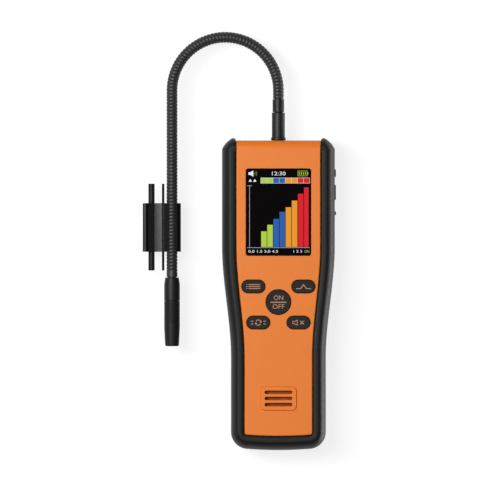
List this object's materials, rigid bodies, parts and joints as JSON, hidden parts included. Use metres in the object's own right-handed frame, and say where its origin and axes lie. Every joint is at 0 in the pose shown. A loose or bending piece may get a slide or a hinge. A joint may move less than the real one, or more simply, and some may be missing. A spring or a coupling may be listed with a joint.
{
  "type": "refrigerant leak detector",
  "caption": "Hand-held refrigerant leak detector with a colour display, rubber keys, a black grip rim and an arched gooseneck that ends in a slim probe.",
  "frame": {"origin": "on the flat back, at the middle of the body's length and width", "axes": "+X across the body to the side with the sockets, +Y along the body towards the gooseneck, +Z out of the front face"},
  "size_m": [0.1279, 0.2765, 0.0356],
  "materials": {
    "orange_plastic": "finely textured moulded plastic",
    "black_grip": "satin overmoulded rubber",
    "black_shell": "finely textured moulded plastic",
    "key_rubber": "matt silicone rubber with orange print",
    "window_gloss": "clear glossy window over a lit display",
    "circuit_board": "green solder mask",
    "silicone": "translucent silicone rubber",
    "steel": "plain",
    "dark_chrome": "dark polished chrome",
    "neck_black": "black semi-gloss on coiled steel",
    "probe_black": "satin",
    "battery_wrap": "shrink wrap",
    "brass": "plain",
    "filter_felt": "felt"
  },
  "bodies": {
    "housing": {"rear_cover": "black_shell", "grip_frame": "black_grip", "front_cover": "orange_plastic", "display_window": "window_gloss", "display_module": "black_shell", "keypad_mat": "silicone", "main_board": "circuit_board", "speaker": "black_shell", "battery_pack": "battery_wrap", "gas_cell": "steel", "air_pump": "black_shell", "sample_hose": "silicone", "pump_hose": "silicone", "usb_port": "steel", "earphone_jack": "black_shell", "side_switch": "black_shell", "case_screw_1": "steel", "case_screw_2": "steel", "case_screw_3": "steel", "case_screw_4": "steel", "case_screw_5": "steel", "case_screw_6": "steel", "neck_gland": "probe_black", "gland_nut": "brass", "neck_ferrule": "probe_black"},
    "mode_key": {"mode_key": "key_rubber"},
    "peak_key": {"peak_key": "key_rubber"},
    "power_key": {"power_key": "key_rubber"},
    "reset_key": {"reset_key": "key_rubber"},
    "mute_key": {"mute_key": "key_rubber"},
    "side_button": {"side_button": "black_grip"},
    "jack_cover": {"jack_cover": "black_grip"},
    "usb_cover": {"usb_cover": "black_grip"},
    "neck": {"gooseneck": "neck_black"},
    "clip": {"clip_block": "black_shell", "clip_tube": "dark_chrome", "clip_pin": "black_grip"},
    "probe": {"probe_holder": "probe_black", "probe_seal": "black_grip", "probe_filter": "filter_felt"},
    "probe_cap": {"probe_cap": "probe_black"}
  },
  "joints": [
    {"name": "mode_key_press", "type": "slide", "parent": "housing", "child": "mode_key", "axis": [0, 0, -1], "range_m": [0, 0.0006], "stiffness_N_per_m": 800},
    {"name": "peak_key_press", "type": "slide", "parent": "housing", "child": "peak_key", "axis": [0, 0, -1], "range_m": [0, 0.0006], "stiffness_N_per_m": 800},
    {"name": "power_key_press", "type": "slide", "parent": "housing", "child": "power_key", "axis": [0, 0, -1], "range_m": [0, 0.0006], "stiffness_N_per_m": 800},
    {"name": "reset_key_press", "type": "slide", "parent": "housing", "child": "reset_key", "axis": [0, 0, -1], "range_m": [0, 0.0006], "stiffness_N_per_m": 800},
    {"name": "mute_key_press", "type": "slide", "parent": "housing", "child": "mute_key", "axis": [0, 0, -1], "range_m": [0, 0.0006], "stiffness_N_per_m": 800},
    {"name": "side_button_press", "type": "slide", "parent": "housing", "child": "side_button", "axis": [-1, 0, 0], "range_m": [0, 0.0005], "stiffness_N_per_m": 600},
    {"name": "jack_cover_hinge", "type": "hinge", "parent": "housing", "child": "jack_cover", "pos_m": [0.03745, 0.07835, 0.022], "axis": [0, 0, -1], "range_deg": [0, 95]},
    {"name": "usb_cover_hinge", "type": "hinge", "parent": "housing", "child": "usb_cover", "pos_m": [0.03745, 0.06315, 0.022], "axis": [0, 0, -1], "range_deg": [0, 95]},
    {"name": "neck_bend", "type": "hinge", "parent": "housing", "child": "neck", "pos_m": [0, 0.1298, 0.018], "axis": [0, 0, 1], "range_deg": [-40, 5], "deforming": ["gooseneck"]},
    {"name": "clip_slide", "type": "slide", "parent": "neck", "child": "clip", "axis": [0, 1, 0], "range_m": [0, 0.06]},
    {"name": "probe_bend", "type": "hinge", "parent": "neck", "child": "probe", "pos_m": [-0.0704, 0.0118, 0.018], "axis": [0, 0, 1], "range_deg": [-30, 10]},
    {"name": "cap_pull", "type": "slide", "parent": "probe", "child": "probe_cap", "axis": [0, -1, 0], "range_m": [0, 0.035]}
  ]
}
